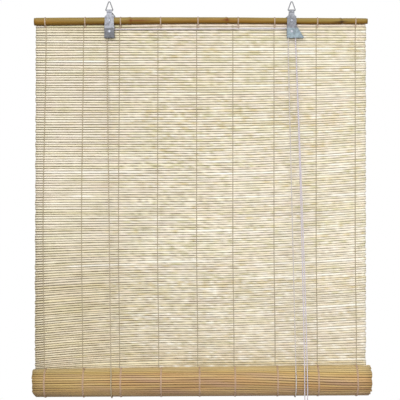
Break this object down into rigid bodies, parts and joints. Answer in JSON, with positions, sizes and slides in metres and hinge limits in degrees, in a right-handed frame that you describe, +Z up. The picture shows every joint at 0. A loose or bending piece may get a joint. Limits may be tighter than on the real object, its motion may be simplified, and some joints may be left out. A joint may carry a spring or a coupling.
{
  "type": "roll-up blind",
  "caption": "Bamboo splint roll-up window blind hung by two wire rings, with a bamboo head cane, warp threads, slings of cord round its rolled lower part, and a cord lock with pull cords",
  "frame": {"origin": "midway between the two points where the wire rings hang from their hooks", "axes": "+X to the right along the cane as seen from the front, -Y out of the front towards the room, +Z up"},
  "size_m": [0.606, 0.0757, 0.7795],
  "materials": {
    "bamboo_cane": "varnished bamboo",
    "splints": "plain split bamboo",
    "rolled_splints": "plain split bamboo",
    "thread": "twisted cotton",
    "zinc_steel": "bright zinc plate",
    "cord": "braided cord"
  },
  "bodies": {
    "root": {"head_cane": "bamboo_cane", "slat_mat": "splints", "warp_thread_1": "thread", "warp_thread_2": "thread", "warp_thread_3": "thread", "warp_thread_4": "thread", "warp_thread_5": "thread", "warp_thread_6": "thread", "warp_thread_7": "thread", "warp_thread_8": "thread", "warp_thread_9": "thread", "cane_tie_1": "thread", "cane_tie_2": "thread", "cane_tie_3": "thread", "cane_tie_4": "thread", "cane_tie_5": "thread", "cane_tie_6": "thread", "cane_tie_7": "thread", "cane_tie_8": "thread", "cane_tie_9": "thread", "left_bracket": "zinc_steel", "right_bracket": "zinc_steel", "left_bracket_screw": "zinc_steel", "right_bracket_screw": "zinc_steel", "left_axle_rivet": "zinc_steel", "right_axle_rivet": "zinc_steel", "left_cord_back": "cord", "left_cord_front": "cord", "right_cord_back": "cord", "right_cord_front": "cord", "cross_cord": "cord", "lock_cord": "cord", "pull_cord_front": "cord", "pull_cord_rear": "cord"},
    "left_ring": {"left_ring": "zinc_steel"},
    "right_ring": {"right_ring": "zinc_steel"},
    "left_pulley": {"left_pulley": "zinc_steel"},
    "right_pulley": {"right_pulley": "zinc_steel"},
    "jam_roller": {"jam_roller": "zinc_steel"},
    "cradle": {"left_cord_sling": "cord", "right_cord_sling": "cord", "cord_lead_front": "cord", "cord_lead_rear": "cord", "hank_front": "cord", "hank_rear": "cord", "hank_tie": "cord", "cord_end_knot": "cord"},
    "roll": {"roll": "rolled_splints", "bottom_rod": "bamboo_cane", "roll_threads": "thread"}
  },
  "joints": [
    {"name": "left_ring_swing", "type": "hinge", "parent": "root", "child": "left_ring", "pos_m": [-0.165, 0, -0.015], "axis": [1, 0, 0], "range_deg": [-90, 90]},
    {"name": "right_ring_swing", "type": "hinge", "parent": "root", "child": "right_ring", "pos_m": [0.165, 0, -0.015], "axis": [1, 0, 0], "range_deg": [-90, 90]},
    {"name": "left_pulley_spin", "type": "hinge", "parent": "root", "child": "left_pulley", "pos_m": [-0.165, 0.00243, -0.0525], "axis": [0, 1, 0], "continuous": true},
    {"name": "right_pulley_spin", "type": "hinge", "parent": "root", "child": "right_pulley", "pos_m": [0.165, 0.00243, -0.0525], "axis": [0, 1, 0], "continuous": true},
    {"name": "roller_slide", "type": "slide", "parent": "root", "child": "jam_roller", "axis": [0.5299, 0, -0.848], "range_m": [0, 0.006]},
    {"name": "blind_lift", "type": "slide", "parent": "root", "child": "cradle", "axis": [0, 0, 1], "range_m": [0, 0.52], "deforming": ["slat_mat", "warp_thread_1", "warp_thread_2", "warp_thread_3", "warp_thread_4", "warp_thread_5", "warp_thread_6", "warp_thread_7", "warp_thread_8", "warp_thread_9", "left_cord_back", "right_cord_back", "left_cord_front", "right_cord_front", "pull_cord_front", "pull_cord_rear"]},
    {"name": "roll_turn", "type": "hinge", "parent": "cradle", "child": "roll", "pos_m": [0, -0.01752, -0.6827], "axis": [1, 0, 0.0096], "range_deg": [-1080, 0]}
  ],
  "couplings": [
    {"joint": "left_pulley_spin", "follows": "blind_lift", "rad_per_m": 454.55},
    {"joint": "right_pulley_spin", "follows": "blind_lift", "rad_per_m": 333.33},
    {"joint": "roll_turn", "follows": "blind_lift", "rad_per_m": -36.249}
  ]
}
